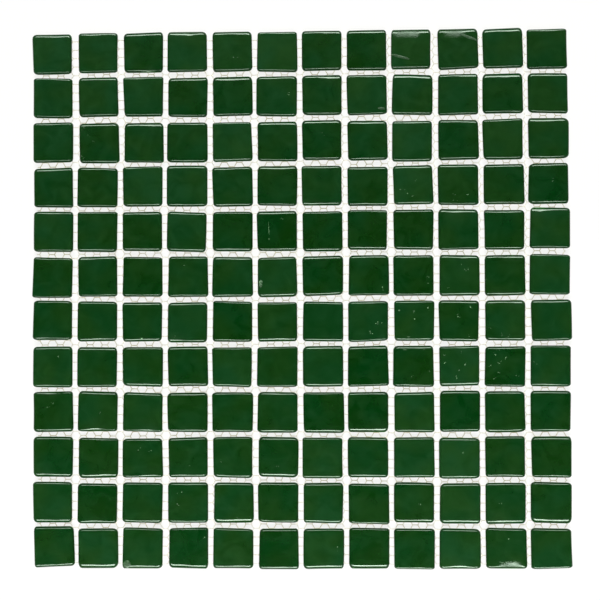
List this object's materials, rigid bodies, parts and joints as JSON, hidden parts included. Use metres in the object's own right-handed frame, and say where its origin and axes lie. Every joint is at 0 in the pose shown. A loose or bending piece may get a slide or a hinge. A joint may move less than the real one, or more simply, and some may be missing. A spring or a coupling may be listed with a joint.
{
  "type": "glass mosaic tile sheet",
  "caption": "Square sheet of small pressed glass tiles with rolled edges, held in even rows by a fine net bonded to their backs, for facing walls, pools and worktops.",
  "frame": {"origin": "under the middle of the sheet, on the surface that it lies on", "axes": "+X along the rows of tiles, +Y up the sheet across the rows, +Z out of the glass face"},
  "size_m": [0.2987, 0.2981, 0.0045],
  "materials": {
    "glass": "gloss",
    "net": "matt"
  },
  "bodies": {
    "root": {"tile_row_01": "glass", "tile_row_02": "glass", "tile_row_03": "glass", "tile_row_04": "glass", "tile_row_05": "glass", "tile_row_06": "glass", "tile_row_07": "glass", "tile_row_08": "glass", "tile_row_09": "glass", "tile_row_10": "glass", "tile_row_11": "glass", "tile_row_12": "glass", "net_threads_lower": "net", "net_threads_upper": "net"}
  },
  "joints": []
}
